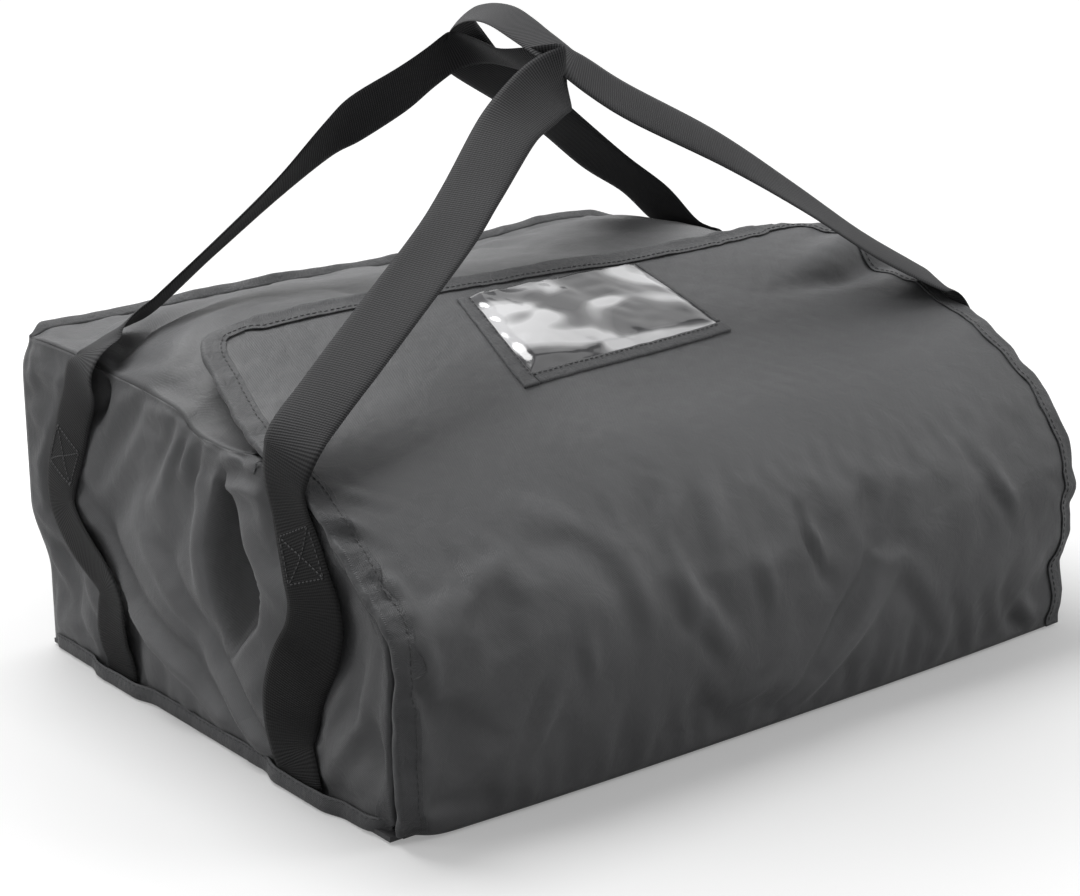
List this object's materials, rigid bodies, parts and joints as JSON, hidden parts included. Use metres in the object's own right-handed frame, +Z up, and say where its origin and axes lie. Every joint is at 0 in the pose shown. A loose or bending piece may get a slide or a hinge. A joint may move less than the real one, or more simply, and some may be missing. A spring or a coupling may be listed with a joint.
{
  "type": "insulated food delivery bag",
  "caption": "Soft insulated box bag for flat food boxes, with a fold-down front, an overlapping top flap with a card pocket, and two webbing handles.",
  "frame": {"origin": "centre of the base, on the surface that the bag stands on", "axes": "+X to the right across the front, +Y from the front to the back, +Z up"},
  "size_m": [0.5582, 0.4026, 0.4146],
  "materials": {
    "cover_fabric": "dark grey coated polyester weave with a soft sheen",
    "binding_tape": "near-black plain woven tape",
    "webbing": "black ribbed polypropylene webbing",
    "foam": "white closed-cell foam, matt",
    "foil_liner": "silver foil laminate, soft shine",
    "board": "plain stiff sheet",
    "clear_film": "clear flexible film, glossy",
    "thread": "grey sewing thread",
    "hook_and_loop": "black hook-and-loop tape, matt"
  },
  "bodies": {
    "bag": {"base_cover": "cover_fabric", "base_board": "board", "base_foam": "foam", "base_liner": "foil_liner", "left_side_cover": "cover_fabric", "left_side_foam": "foam", "left_side_liner": "foil_liner", "left_side_binding": "binding_tape", "left_front_strap": "webbing", "left_front_stitch": "thread", "left_rear_strap": "webbing", "left_rear_stitch": "thread", "right_side_cover": "cover_fabric", "right_side_foam": "foam", "right_side_liner": "foil_liner", "right_side_binding": "binding_tape", "right_front_strap": "webbing", "right_front_stitch": "thread", "right_rear_strap": "webbing", "right_rear_stitch": "thread", "back_cover": "cover_fabric", "back_foam": "foam", "back_liner": "foil_liner", "top_cover": "cover_fabric", "top_foam": "foam", "top_liner": "foil_liner", "back_binding": "binding_tape", "bottom_binding": "binding_tape", "mouth_binding": "binding_tape", "sill_binding": "binding_tape", "loop_tape": "hook_and_loop"},
    "front_flap": {"front_cover": "cover_fabric", "front_foam": "foam", "front_liner": "foil_liner", "front_binding_left": "binding_tape", "front_binding_right": "binding_tape"},
    "top_flap": {"flap_cover": "cover_fabric", "flap_foam": "foam", "flap_liner": "foil_liner", "flap_binding": "binding_tape", "hook_tape": "hook_and_loop", "pocket_border": "binding_tape", "pocket_window": "clear_film"},
    "left_handle": {"left_handle_front_leg": "webbing", "left_handle_grip": "webbing", "left_handle_rear_leg": "webbing"},
    "right_handle": {"right_handle_front_leg": "webbing", "right_handle_grip": "webbing", "right_handle_rear_leg": "webbing"}
  },
  "joints": [
    {"name": "front_hinge", "type": "hinge", "parent": "bag", "child": "front_flap", "pos_m": [0, -0.2013, 0], "axis": [1, 0, 0], "range_deg": [0, 90], "deforming": ["left_handle_front_leg", "right_handle_front_leg"]},
    {"name": "flap_hinge", "type": "hinge", "parent": "front_flap", "child": "top_flap", "pos_m": [0, -0.2013, 0.1206], "axis": [1, 0, 0], "range_deg": [0, 49], "deforming": ["left_handle_front_leg", "right_handle_front_leg"]},
    {"name": "left_handle_hinge", "type": "hinge", "parent": "bag", "child": "left_handle", "pos_m": [-0.279, 0, 0.1624], "axis": [0, -1, 0], "range_deg": [0, 160]},
    {"name": "right_handle_hinge", "type": "hinge", "parent": "bag", "child": "right_handle", "pos_m": [0.279, 0, 0.1624], "axis": [0, 1, 0], "range_deg": [0, 160]}
  ]
}
